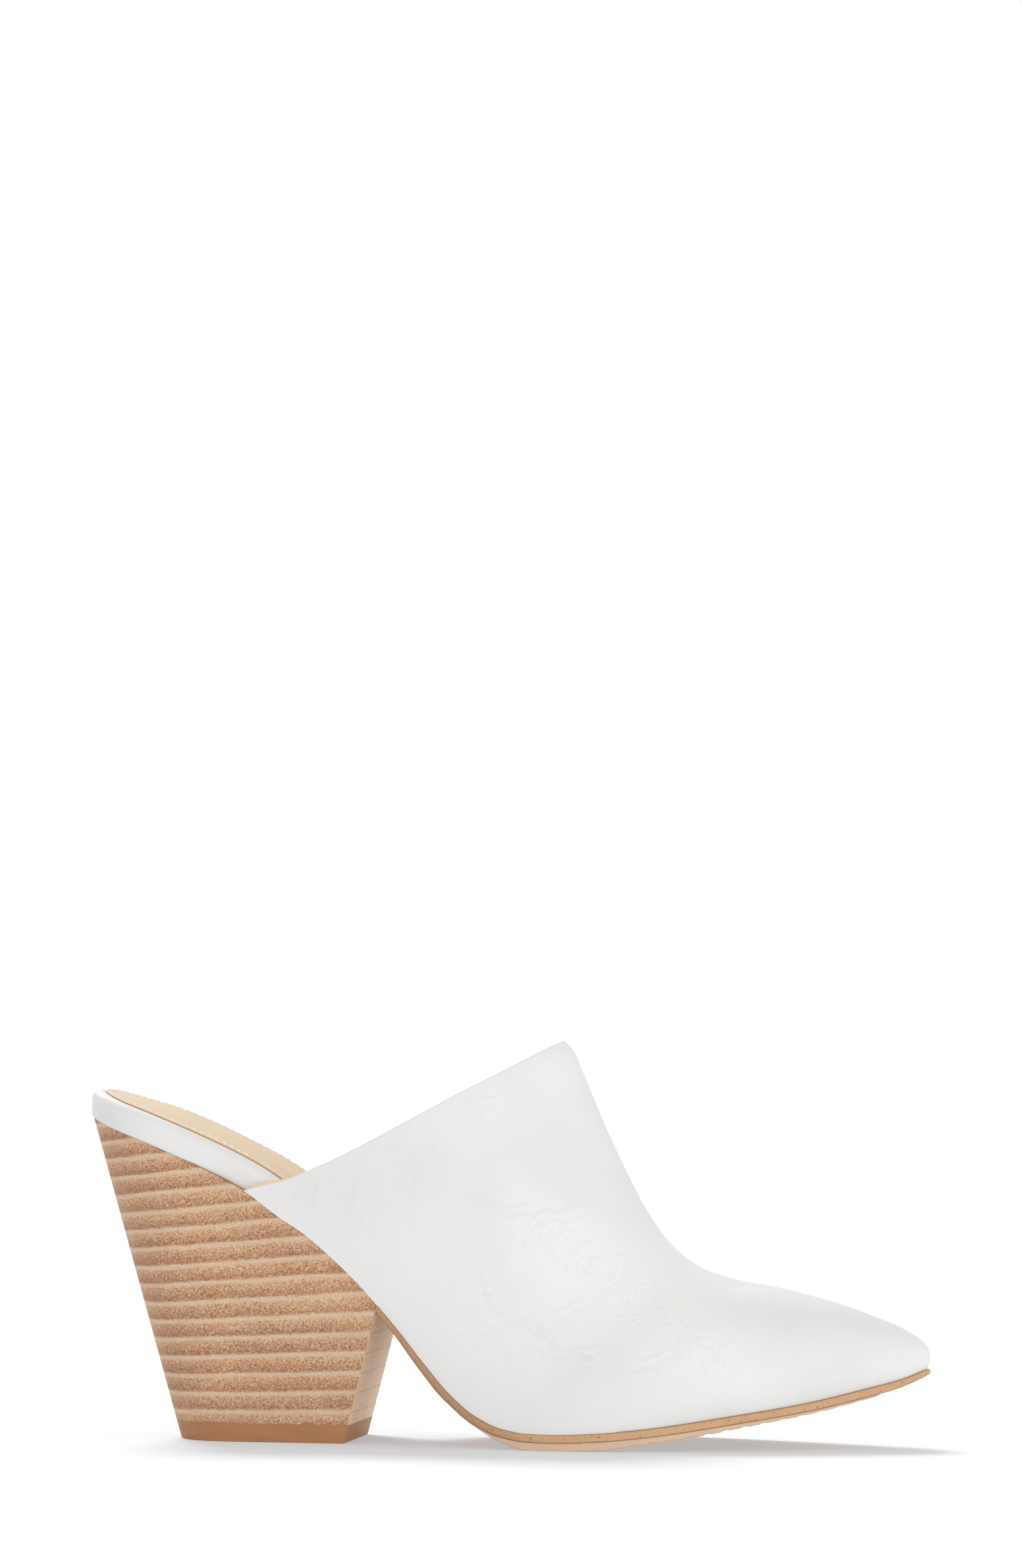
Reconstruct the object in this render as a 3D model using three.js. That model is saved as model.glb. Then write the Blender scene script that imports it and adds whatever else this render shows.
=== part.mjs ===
// A pointed mule on a stacked block heel, for the right foot. Millimetres, +Z up, +X to the toe, -Y to the outer side.
import * as THREE from "three";

// Driving dimensions of the last
const shoeLength = 236; // back of the seat to the tip of the sole
const ballWidth = 76; // widest part of the last's bottom edge
const heelHeight = 90; // floor to the underside of the seat, at the back
const toeSpring = 17.6; // how far the tip of the last's bottom edge is above the ball
const instepHeight = 107.3; // last's bottom to the highest point of the topline
const seatRound = 27; // how far along the back of the seat is rounded
const toeRound = 11; // how far along the tip of the toe is rounded

// Upper and insole
const wall = 1.8; // upper leather with its lining
const boardSeat = 7; // covered insole board, where its rim shows
const boardForepart = 3.6; // the same board, inside the forepart
const boardRoll = 2.4; // rounding of the rim's upper edge
const rimShow = 3.9; // width of white rim left round the sock
const sockThickness = 1.1;

// Sole and tread
const soleThickness = 2;
const soleSkive = 1.2; // thickness of the same sole where it is thinned to meet the heel
const soleSkiveLength = 18;
const soleMargin = 0.7; // how far the sole's edge stands out from the upper
const soleBevel = 0.6;
const treadThickness = 1.9; // under the ball
const treadInset = 0.5; // how far the tread's edge lies inside the sole's
const ribPitch = 5.1; // spacing of the tread's cross ribs
const ribGroove = 1.3; // width of the groove between two ribs
const ribDepth = 0.6;
const ribCrown = 0.12; // how much a rib swells in its middle

// Heel
const heelFootLength = 48.8; // heel where it meets the floor
const heelFootWidth = 43;
const heelFootSet = 26.6; // how far the heel's foot lies forward of the seat's back
const heelFootRound = 21; // how far along the back of the heel's foot is rounded
const heelFootSquareness = 2.5; // exponent of that rounding, where 2 is an ellipse
const heelInset = 0.4; // how far the heel's sides lie inside the rim and the upper
const breastSet = 84.9; // where the heel's front face meets the sole, along the shoe
const liftThickness = 5.2;

const clearance = 0.3; // between curved faces that meet

// Facets
const topRows = 46; // rows of the upper from topline to toe
const sideSteps = 15; // facets of a section from its bottom edge to the ridge
const plateSpacing = 5;
const roundSteps = 9; // facets round a quarter of the seat or the toe

// The last's bottom edge from above: its middle and its half width, as shares of half the ball width
const PLAN = [
  { along: 0.0, middle: 0.0, half: 0.715 },
  { along: 0.115, middle: 0.0, half: 0.73 },
  { along: 0.165, middle: 0.0, half: 0.738 },
  { along: 0.21, middle: -0.005, half: 0.76 },
  { along: 0.297, middle: -0.024, half: 0.708 },
  { along: 0.356, middle: -0.037, half: 0.668 },
  { along: 0.424, middle: -0.052, half: 0.71 },
  { along: 0.487, middle: -0.06, half: 0.815 },
  { along: 0.551, middle: -0.047, half: 0.942 },
  { along: 0.593, middle: -0.026, half: 0.99 },
  { along: 0.636, middle: -0.003, half: 1.0 },
  { along: 0.678, middle: 0.024, half: 0.972 },
  { along: 0.729, middle: 0.047, half: 0.888 },
  { along: 0.784, middle: 0.061, half: 0.762 },
  { along: 0.847, middle: 0.074, half: 0.595 },
  { along: 0.911, middle: 0.088, half: 0.412 },
  { along: 0.958, middle: 0.1, half: 0.272 },
  { along: 1.0, middle: 0.105, half: 0.19 },
];

// The last's bottom line from the side. seat is a share of its rise from the ball to the seat, and spring of its
// rise from the ball to the tip.
const SIDE = [
  { along: 0.0, seat: 0.998, spring: 0.0 },
  { along: 0.03, seat: 0.968, spring: 0.0 },
  { along: 0.084, seat: 0.917, spring: 0.0 },
  { along: 0.149, seat: 0.841, spring: 0.0 },
  { along: 0.206, seat: 0.761, spring: 0.0 },
  { along: 0.258, seat: 0.665, spring: 0.0 },
  { along: 0.321, seat: 0.517, spring: 0.0 },
  { along: 0.385, seat: 0.328, spring: 0.0 },
  { along: 0.417, seat: 0.222, spring: 0.0 },
  { along: 0.45, seat: 0.122, spring: 0.0 },
  { along: 0.483, seat: 0.052, spring: 0.0 },
  { along: 0.516, seat: 0.014, spring: 0.0 },
  { along: 0.548, seat: 0.001, spring: 0.0 },
  { along: 0.58, seat: 0.0, spring: 0.0 },
  { along: 0.625, seat: 0.0, spring: 0.025 },
  { along: 0.686, seat: 0.0, spring: 0.1 },
  { along: 0.775, seat: 0.0, spring: 0.28 },
  { along: 0.864, seat: 0.0, spring: 0.485 },
  { along: 0.932, seat: 0.0, spring: 0.704 },
  { along: 0.975, seat: 0.0, spring: 0.862 },
  { along: 1.0, seat: 0.0, spring: 1.0 },
];

// Sections of the upper from the topline to the toe. foot and ridge are shares of the length, top and sag are shares
// of the instep's height over the last's bottom, and lean and bulge are shares of half the ball width. lean moves the ridge to the inner
// side, bulge swells the wall and sag lowers its edge. rise is how far up the wall stays upright and crown is how
// broad the top is, as shares of the section.
const SECTIONS = [
  { foot: 0.204, ridge: 0.5655, top: 1.0, lean: 0.04, bulge: 0.0, sag: 0.036, rise: 0.52, crown: 0.74 },
  { foot: 0.24, ridge: 0.5755, top: 0.977, lean: 0.045, bulge: 0.02, sag: 0.028, rise: 0.5, crown: 0.74 },
  { foot: 0.27, ridge: 0.588, top: 0.916, lean: 0.05, bulge: 0.06, sag: 0.02, rise: 0.48, crown: 0.74 },
  { foot: 0.31, ridge: 0.6095, top: 0.803, lean: 0.06, bulge: 0.13, sag: 0.01, rise: 0.46, crown: 0.74 },
  { foot: 0.358, ridge: 0.6365, top: 0.673, lean: 0.075, bulge: 0.18, sag: 0.0, rise: 0.45, crown: 0.74 },
  { foot: 0.412, ridge: 0.666, top: 0.545, lean: 0.1, bulge: 0.17, sag: 0.0, rise: 0.44, crown: 0.74 },
  { foot: 0.468, ridge: 0.695, top: 0.453, lean: 0.13, bulge: 0.11, sag: 0.0, rise: 0.42, crown: 0.74 },
  { foot: 0.528, ridge: 0.73, top: 0.385, lean: 0.15, bulge: 0.065, sag: 0.0, rise: 0.4, crown: 0.73 },
  { foot: 0.595, ridge: 0.773, top: 0.34, lean: 0.16, bulge: 0.05, sag: 0.0, rise: 0.37, crown: 0.71 },
  { foot: 0.672, ridge: 0.826, top: 0.301, lean: 0.15, bulge: 0.04, sag: 0.0, rise: 0.34, crown: 0.68 },
  { foot: 0.757, ridge: 0.883, top: 0.246, lean: 0.13, bulge: 0.03, sag: 0.0, rise: 0.32, crown: 0.66 },
  { foot: 0.842, ridge: 0.933, top: 0.183, lean: 0.12, bulge: 0.02, sag: 0.0, rise: 0.32, crown: 0.65 },
  { foot: 0.912, ridge: 0.968, top: 0.133, lean: 0.112, bulge: 0.015, sag: 0.0, rise: 0.34, crown: 0.65 },
  { foot: 0.96, ridge: 0.991, top: 0.084, lean: 0.107, bulge: 0.01, sag: 0.0, rise: 0.38, crown: 0.65 },
  { foot: 0.986, ridge: 1.0005, top: 0.052, lean: 0.105, bulge: 0.005, sag: 0.0, rise: 0.42, crown: 0.65 },
  { foot: 0.9985, ridge: 1.003, top: 0.027, lean: 0.105, bulge: 0.0, sag: 0.0, rise: 0.45, crown: 0.65 },
];

// How thick the tread is, as shares of its thickness. Where it is over 1, the floor has flattened its ribs.
const TREAD = [
  { along: 0.462, share: 0.1 },
  { along: 0.484, share: 0.3 },
  { along: 0.517, share: 0.65 },
  { along: 0.546, share: 1.12 },
  { along: 0.58, share: 1.13 },
  { along: 0.61, share: 1.18 },
  { along: 0.64, share: 1.15 },
  { along: 0.665, share: 0.95 },
  { along: 0.7, share: 0.8 },
  { along: 0.75, share: 0.74 },
  { along: 0.8, share: 0.5 },
  { along: 0.85, share: 0.34 },
  { along: 0.9, share: 0.24 },
  { along: 0.95, share: 0.12 },
];

// A smooth curve through a table's column: it has no bumps that the rows don't have
function curveThrough(rows, key, column) {
  const x = rows.map((row) => row[key]);
  const y = rows.map((row) => row[column]);
  const last = rows.length - 1;
  const rises = x.slice(1).map((value, i) => (y[i + 1] - y[i]) / (value - x[i]));
  const slopes = x.map((_, i) => {
    if (i === 0) return rises[0];
    if (i === last) return rises[last - 1];
    const before = rises[i - 1];
    const after = rises[i];
    return before * after <= 0 ? 0 : (2 * before * after) / (before + after);
  });
  return (at) => {
    let i = 0;
    while (i < last - 1 && at > x[i + 1]) i += 1;
    const span = x[i + 1] - x[i];
    const t = THREE.MathUtils.clamp((at - x[i]) / span, 0, 1);
    const [t2, t3] = [t * t, t * t * t];
    return (
      y[i] * (2 * t3 - 3 * t2 + 1) +
      y[i + 1] * (3 * t2 - 2 * t3) +
      span * (slopes[i] * (t3 - 2 * t2 + t) + slopes[i + 1] * (t3 - t2))
    );
  };
}

// The last's bottom: its plan and its side line
const halfBall = ballWidth / 2;
const planMiddle = curveThrough(PLAN, "along", "middle");
const planHalf = curveThrough(PLAN, "along", "half");
const seatShare = curveThrough(SIDE, "along", "seat");
const springShare = curveThrough(SIDE, "along", "spring");
const ballHeight = treadThickness + soleThickness + 2 * clearance;
const lastLength = shoeLength - soleMargin;

function halfWidth(x) {
  const heelEnd = Math.max(0, 1 - x / seatRound);
  const toeEnd = Math.max(0, (x - lastLength + toeRound) / toeRound);
  const rounding = Math.sqrt(Math.max(0, 1 - heelEnd ** 2)) * Math.sqrt(Math.max(0, 1 - toeEnd ** 2));
  return halfBall * planHalf(x / lastLength) * rounding;
}
const middle = (x) => halfBall * planMiddle(x / lastLength);
const bottomHeight = (x) =>
  ballHeight + (heelHeight - ballHeight) * seatShare(x / lastLength) + toeSpring * springShare(x / lastLength);

// A point over or under the last's bottom line. It is moved straight up, by as much as a layer that thick needs.
function bottomPoint(x, y, layers) {
  const step = 0.5;
  const slope = (bottomHeight(x + step) - bottomHeight(x - step)) / (2 * step);
  return new THREE.Vector3(x, y, bottomHeight(x) + layers * Math.hypot(1, slope));
}

// Places along the shoe, closer together where an end is round
function places(from, to) {
  const found = [];
  const narrowest = 0.07; // of a right angle: the end stays a little blunt
  for (let i = 0; i < roundSteps; i += 1) {
    const angle = (Math.PI / 2) * (narrowest + ((1 - narrowest) * i) / roundSteps);
    found.push(seatRound * (1 - Math.cos(angle)));
    found.push(lastLength - toeRound * (1 - Math.cos(angle)));
  }
  const straight = lastLength - seatRound - toeRound;
  const steps = Math.round(straight / plateSpacing);
  for (let i = 0; i <= steps; i += 1) found.push(seatRound + (straight * i) / steps);
  const first = Math.max(from, Math.min(...found));
  const last = Math.min(to, Math.max(...found));
  const nearest = 0.1; // of the spacing: places closer than this to an end are left out
  const inside = found.filter((x) => x > first + nearest * plateSpacing && x < last - nearest * plateSpacing);
  return [first, ...inside.sort((a, b) => a - b), last];
}

// A loop round a plate: its inner side from back to front, then its outer side from front to back. inset and layers
// are functions of the place along the shoe.
function plateLoop(xs, inset, layers) {
  const narrowest = 0.4; // of the half width that is left where the inset is large
  const edge = (x, side) => {
    const half = halfWidth(x);
    const kept = Math.max(half - inset(x), half * narrowest);
    const moved = x - inset(x) * ((2 * x) / lastLength - 1);
    return bottomPoint(moved, middle(x) + side * kept, layers(x));
  };
  return [...xs.map((x) => edge(x, 1)), ...[...xs].reverse().map((x) => edge(x, -1))];
}

// A closed body through loops of equal count, first the lowest. Its two ends are strips from one side to the other.
function bodyThrough(loops) {
  const count = loops[0].length;
  const points = loops.flat();
  const faces = [];
  const quad = (a, b, c, d) => faces.push(a, b, c, a, c, d);
  for (let level = 0; level < loops.length - 1; level += 1) {
    for (let i = 0; i < count; i += 1) {
      const next = (i + 1) % count;
      const [low, high] = [level * count, (level + 1) * count];
      quad(low + next, low + i, high + i, high + next);
    }
  }
  const top = (loops.length - 1) * count;
  for (let i = 0; i < count / 2 - 1; i += 1) {
    const across = count - 1 - i;
    quad(i, i + 1, across - 1, across);
    quad(top + i, top + across, top + across - 1, top + i + 1);
  }
  return meshFrom(points, faces);
}

function meshFrom(points, faces) {
  const geometry = new THREE.BufferGeometry();
  geometry.setAttribute("position", new THREE.Float32BufferAttribute(points.flatMap((p) => p.toArray()), 3));
  geometry.setIndex(faces);
  geometry.computeVertexNormals();
  return geometry;
}

// Insole board with its rolled upper edge. Its rim shows round the seat and goes inside the upper further on.
const upperStart = SECTIONS[0].foot * lastLength;
const boardInset = (x) => (wall + 3 * clearance) * THREE.MathUtils.smoothstep(x, seatRound, upperStart);
const boardThickness = (x) =>
  THREE.MathUtils.lerp(boardSeat, boardForepart, THREE.MathUtils.smoothstep(x, upperStart, breastSet + seatRound));

function insoleBoard() {
  const xs = places(0, lastLength - 2 * wall);
  const rollSteps = 4;
  const fullest = 0.75; // of the board: the rolling takes no more than this
  const roll = (x) => Math.min(boardRoll, fullest * boardThickness(x));
  const loops = [plateLoop(xs, boardInset, () => 0)];
  for (let i = 0; i <= rollSteps; i += 1) {
    const angle = (Math.PI / 2) * (i / rollSteps);
    const inset = (x) => boardInset(x) + roll(x) * (1 - Math.cos(angle));
    loops.push(plateLoop(xs, inset, (x) => boardThickness(x) - roll(x) * (1 - Math.sin(angle))));
  }
  return bodyThrough(loops);
}

// Sock that lies on the board inside the rim
function sock() {
  const xs = places(0, lastLength - toeRound);
  const inset = (x) => boardInset(x) + rimShow;
  const under = (x) => boardThickness(x) + clearance;
  const edge = sockThickness / 3;
  return bodyThrough([
    plateLoop(xs, inset, under),
    plateLoop(xs, inset, (x) => under(x) + sockThickness - edge),
    plateLoop(xs, (x) => inset(x) + edge, (x) => under(x) + sockThickness),
  ]);
}

// Sole from the heel's breast to the toe, bevelled on both edges and thinned where it starts
const soleStart = breastSet + clearance;
const soleAt = (x) =>
  THREE.MathUtils.lerp(soleSkive, soleThickness, THREE.MathUtils.smoothstep(x, soleStart, soleStart + soleSkiveLength));

function sole() {
  const xs = places(soleStart, lastLength);
  const bevel = (x) => Math.min(soleBevel, soleAt(x) / 2);
  const edge = () => -soleMargin;
  const bevelled = (x) => bevel(x) - soleMargin;
  const under = (x) => -clearance - soleAt(x);
  return bodyThrough([
    plateLoop(xs, bevelled, under),
    plateLoop(xs, edge, (x) => under(x) + bevel(x)),
    plateLoop(xs, edge, (x) => -clearance - bevel(x) / 2),
    plateLoop(xs, bevelled, () => -clearance),
  ]);
}

// Ribbed tread under the forepart, flat where it stands on the floor
function tread() {
  const share = curveThrough(TREAD, "along", "share");
  const first = TREAD[0].along * lastLength;
  const length = TREAD.at(-1).along * lastLength - first;
  const ribs = Math.round(length / ribPitch);
  const pitch = length / ribs;
  const land = pitch - ribGroove;
  const profile = [
    { along: 0, depth: 0 },
    { along: 0.15, depth: ribDepth - ribCrown },
    { along: 0.5, depth: ribDepth },
    { along: 0.85, depth: ribDepth - ribCrown },
    { along: 1, depth: 0 },
  ];
  const depths = new Map();
  for (let i = 0; i < ribs; i += 1) {
    for (const { along, depth } of profile) depths.set(first + i * pitch + along * land, depth);
  }
  const xs = [...depths.keys()];
  const top = (x) => -2 * clearance - soleAt(x);
  const under = (x) => {
    const full = treadThickness * share(x / lastLength);
    const groove = Math.min(ribDepth, full / 2);
    return top(x) - full + groove * (1 - depths.get(x) / ribDepth);
  };
  const inset = () => treadInset - soleMargin;
  const loops = [plateLoop(xs, inset, under), plateLoop(xs, inset, top)];
  for (const point of loops[0]) point.z = Math.max(point.z, 0);
  return bodyThrough(loops);
}

// The heel's outline at its foot and under the seat, with straight sides between. A share of 0 is the floor.
const heelPlaces = places(0, breastSet);
function heelLoop(heightOf) {
  const corner = (x, side) => {
    const along = x / breastSet;
    const footX = along * heelFootLength;
    const back = Math.max(0, 1 - footX / heelFootRound);
    const footHalf = (heelFootWidth / 2) * (1 - back ** heelFootSquareness) ** (1 / heelFootSquareness);
    const foot = new THREE.Vector3(heelFootSet + footX, side * footHalf, 0);
    const seatHalf = Math.max(halfWidth(x) - heelInset, 0);
    const inward = heelInset * (1 - along);
    const seat = bottomPoint(x + inward, middle(x) + side * seatHalf, -clearance);
    return foot.lerp(seat, heightOf(seat.z));
  };
  return [
    ...heelPlaces.map((x) => corner(x, 1)),
    ...[...heelPlaces].reverse().map((x) => corner(x, -1)),
  ];
}
const floorLoop = heelLoop(() => 0);
const liftLoop = heelLoop((seatHeight) => liftThickness / seatHeight);
const seatLoop = heelLoop(() => 1);

// The upper's outer or inner face, as rows of points from the outer side's bottom edge over the ridge to the inner
const columns = Object.fromEntries(
  Object.keys(SECTIONS[0]).map((name) => [
    name,
    curveThrough(SECTIONS.map((row, i) => ({ ...row, at: i / (SECTIONS.length - 1) })), "at", name),
  ]),
);

function ridgePoint(at, inset) {
  const place = (where) => {
    const x = columns.ridge(where) * lastLength;
    return new THREE.Vector3(x, 0, bottomHeight(x) + columns.top(where) * instepHeight);
  };
  const step = 0.01;
  const run = place(Math.min(1, at + step)).sub(place(Math.max(0, at - step))).normalize();
  return place(at).add(new THREE.Vector3(run.z, 0, -run.x).multiplyScalar(inset));
}

function upperRow(at, inset) {
  const footX = columns.foot(at) * lastLength;
  const half = halfWidth(footX);
  const kept = half - Math.min(inset, half * 0.3);
  const pulled = footX - inset * THREE.MathUtils.smoothstep(footX, lastLength - 3 * toeRound, lastLength);
  const ridge = ridgePoint(at, inset);
  ridge.y = halfBall * columns.lean(at);
  const side = (sign) => {
    const edge = new THREE.Vector3(pulled, middle(footX) + sign * kept, bottomHeight(pulled));
    const upright = edge.clone().lerp(ridge, columns.rise(at));
    upright.z -= instepHeight * columns.sag(at);
    upright.y = edge.y + sign * halfBall * columns.bulge(at);
    const crown = ridge.clone();
    crown.y += columns.crown(at) * (edge.y - ridge.y);
    return new THREE.CubicBezierCurve3(edge, upright, crown, ridge);
  };
  const outer = side(-1).getPoints(sideSteps);
  const inner = side(1).getPoints(sideSteps).reverse();
  return [...outer, ...inner.slice(1)];
}

// The upper: an outer and an inner face, joined along the topline and the bottom edge, and closed round the toe
function upper() {
  const outer = [];
  const inner = [];
  for (let i = 0; i <= topRows; i += 1) {
    outer.push(upperRow(i / topRows, 0));
    inner.push(upperRow(i / topRows, wall));
  }
  const count = outer[0].length;
  const points = [...outer.flat(), ...inner.flat()];
  const innerStart = outer.length * count;
  const faces = [];
  const quad = (a, b, c, d) => faces.push(a, b, c, a, c, d);
  for (let row = 0; row < topRows; row += 1) {
    for (let i = 0; i < count - 1; i += 1) {
      const a = row * count + i;
      quad(a, a + count, a + count + 1, a + 1);
      quad(innerStart + a, innerStart + a + 1, innerStart + a + count + 1, innerStart + a + count);
    }
    const [first, last] = [row * count, row * count + count - 1];
    quad(first, innerStart + first, innerStart + first + count, first + count);
    quad(last, last + count, innerStart + last + count, innerStart + last);
  }
  for (let i = 0; i < count - 1; i += 1) {
    quad(i, i + 1, innerStart + i + 1, innerStart + i);
  }
  const tip = topRows * count;
  for (let i = 1; i < count - 1; i += 1) {
    faces.push(tip, tip + i + 1, tip + i);
    faces.push(innerStart + tip, innerStart + tip + i, innerStart + tip + i + 1);
  }
  quad(tip, innerStart + tip, innerStart + tip + count - 1, tip + count - 1);
  return meshFrom(points, faces);
}

// Materials
const finish = (color, roughness) => new THREE.MeshStandardMaterial({ color, roughness, metalness: 0 });
const whiteLeather = finish(0xecebe9, 0.45);
const tanLeather = finish(0xe2c49b, 0.5);
const soleTan = finish(0xc59a6a, 0.55);
const treadRubber = finish(0xe0b798, 0.7);
const stackedHeel = finish(0xbe9a7c, 0.6);
const liftRubber = finish(0xa3755a, 0.55);

const shoe = new THREE.Group();
function add(name, geometry, material) {
  const mesh = new THREE.Mesh(geometry, material);
  mesh.name = name;
  shoe.add(mesh);
}

add("upper", upper(), whiteLeather);
add("insole_board", insoleBoard(), whiteLeather);
add("sock", sock(), tanLeather);
add("sole", sole(), soleTan);
add("tread", tread(), treadRubber);
add("heel", bodyThrough([liftLoop, seatLoop]), stackedHeel);
add("top_lift", bodyThrough([floorLoop, liftLoop]), liftRubber);

// The frame's origin is on the floor, under the middle of the shoe
const extent = new THREE.Box3().setFromObject(shoe);
const centre = extent.getCenter(new THREE.Vector3());
shoe.position.set(-centre.x, -centre.y, 0);

export default shoe;
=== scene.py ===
import math

import bmesh
import bpy
import numpy as np
from mathutils import Matrix, Vector


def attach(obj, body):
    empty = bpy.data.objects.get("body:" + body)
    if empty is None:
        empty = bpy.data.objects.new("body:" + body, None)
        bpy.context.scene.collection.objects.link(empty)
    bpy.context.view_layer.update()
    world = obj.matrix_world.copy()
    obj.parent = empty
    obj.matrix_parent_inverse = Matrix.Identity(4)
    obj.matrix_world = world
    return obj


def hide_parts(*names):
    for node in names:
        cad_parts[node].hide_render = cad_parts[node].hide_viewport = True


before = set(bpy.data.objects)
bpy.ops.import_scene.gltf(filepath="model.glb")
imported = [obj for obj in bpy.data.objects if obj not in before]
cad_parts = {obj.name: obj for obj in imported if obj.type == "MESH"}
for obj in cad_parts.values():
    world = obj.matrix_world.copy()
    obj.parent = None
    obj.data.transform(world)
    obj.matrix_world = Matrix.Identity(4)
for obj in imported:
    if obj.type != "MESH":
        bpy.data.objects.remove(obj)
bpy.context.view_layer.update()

# Sizes of the shoe, in millimetres, from the back of its seat to the toe along X
MM = 0.001
SHOE_LENGTH = 236.0
BALL_WIDTH = 76.0
HEEL_HEIGHT = 90.0
TOE_SPRING = 17.6
INSTEP_HEIGHT = 107.3
SEAT_ROUND = 27.0
TOE_ROUND = 11.0
BLUNT_END = 0.07  # of a right angle: both ends of a plate stay this blunt
NARROWEST = 0.4  # of its half width: what an inset leaves of a plate at least
PLATE_SPACING = 1.2
WALL = 1.8
LINING = 0.6
LINING_GAP = 0.02
LINING_SHOW = 0.7  # how far the lining stands out of the topline near its corners
TUCK = 1.9  # how far the topline dips ahead of its corners
BOARD_SEAT = 7.0
BOARD_FOREPART = 3.6
BOARD_EDGE = 0.3
ROLL_IN = 3.5
ROLL_DOWN = 3.0
ROLL_SHARE = 0.75  # of the board's thickness: how much of it is rolled at most
RIM_RISE = 0.6  # how far the rolled rim stands up round the sock
RIM_SHOW = 3.9
SOCK_THICKNESS = 1.1
SOCK_ROUND = 0.45 * SOCK_THICKNESS
SOCK_SPACING = 1.5
STITCH_PITCH = 2.3
STITCH_GAP = 0.35
STITCH_BOW = 0.14
STITCH_LIFT = 0.02
STITCH_SPACING = 0.8
THREAD_RADIUS = 0.21
THREAD_SUNK = 0.12
THREAD_END = 0.45  # of its radius: what is left of a thread where it enters the leather
SOLE_THICKNESS = 2.0
SOLE_SKIVE = 1.2
SOLE_SKIVE_LENGTH = 18.0
SOLE_MARGIN = 0.7
SOLE_BEVEL = 0.4
TIP_THINNER = 0.25  # of the sole's thickness: what it loses at the toe
WAIST_BEVEL = 2  # how much wider the sole's bevel is under the arch, in bevels
TREAD_THICKNESS = 1.9
TREAD_START = 0.15  # of its thickness: what the tread starts with
TREAD_INSET = 0.5
TREAD_START_INSET = 1.0
TREAD_EDGE = 0.4
RIB_PITCH = 5.1
RIB_GROOVE = 1.3
RIB_DEPTH = 0.6
RIB_ROUND = 0.2  # of a rib's length, at each end
NOTCH_BACK, NOTCH_FRONT = 0.08, 0.4  # of a groove's depth: how deep it is at the tread's edge
HEEL_FOOT_LENGTH = 48.8
HEEL_FOOT_WIDTH = 43.0
HEEL_FOOT_SET = 26.6
HEEL_FOOT_ROUND = 21.0
HEEL_FOOT_SQUARENESS = 2.5
HEEL_INSET = 0.4
HEEL_CORNER = 0.9
CORNER_END = 0.97  # of a right angle's sine: where the rounding of the heel's corners stops
BREAST_SET = 84.9
LIFT_THICKNESS = 5.2
LIFT_WEAR = 0.35
LIFT_GAP = 0.02
CLEARANCE = 0.3
SEAM = 0.08  # what is left of the clearance where two finished pieces are pressed together
LAST_LENGTH = SHOE_LENGTH - SOLE_MARGIN
HALF_BALL = BALL_WIDTH / 2
BALL_HEIGHT = TREAD_THICKNESS + SOLE_THICKNESS + 2 * CLEARANCE
SOLE_START = BREAST_SET + CLEARANCE
ARCH_END = BREAST_SET + 2 * SEAT_ROUND

# Layers of the heel: each light line is a pitch over the last, and they open towards the front
LAYER_START = 7.5
LAYER_PITCH = 4.93
LAYER_SLOPE = 0.02
LAYER_SPREAD = 0.0078

# The last's bottom edge from above, as shares of its length and of half the ball width
PLAN = {
    "along": [0, 0.115, 0.165, 0.21, 0.297, 0.356, 0.424, 0.487, 0.551,
              0.593, 0.636, 0.678, 0.729, 0.784, 0.847, 0.911, 0.958, 1],
    "middle": [0, 0, 0, -0.005, -0.024, -0.037, -0.052, -0.06, -0.047,
               -0.026, -0.003, 0.024, 0.047, 0.061, 0.074, 0.088, 0.1, 0.105],
    "half": [0.715, 0.73, 0.738, 0.76, 0.708, 0.668, 0.71, 0.815, 0.942,
             0.99, 1, 0.972, 0.888, 0.762, 0.595, 0.412, 0.272, 0.19],
}

# The last's bottom line from the side, as shares of its rise to the seat and to the toe
SIDE = {
    "along": [0, 0.03, 0.084, 0.149, 0.206, 0.258, 0.321, 0.385, 0.417, 0.45, 0.483,
              0.516, 0.548, 0.58, 0.625, 0.686, 0.775, 0.864, 0.932, 0.975, 1],
    "seat": [0.998, 0.968, 0.917, 0.841, 0.761, 0.665, 0.517, 0.328, 0.222, 0.122, 0.052,
             0.014, 0.001, 0, 0, 0, 0, 0, 0, 0, 0],
    "spring": [0, 0, 0, 0, 0, 0, 0, 0, 0, 0, 0,
               0, 0, 0, 0.025, 0.1, 0.28, 0.485, 0.704, 0.862, 1],
}

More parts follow.
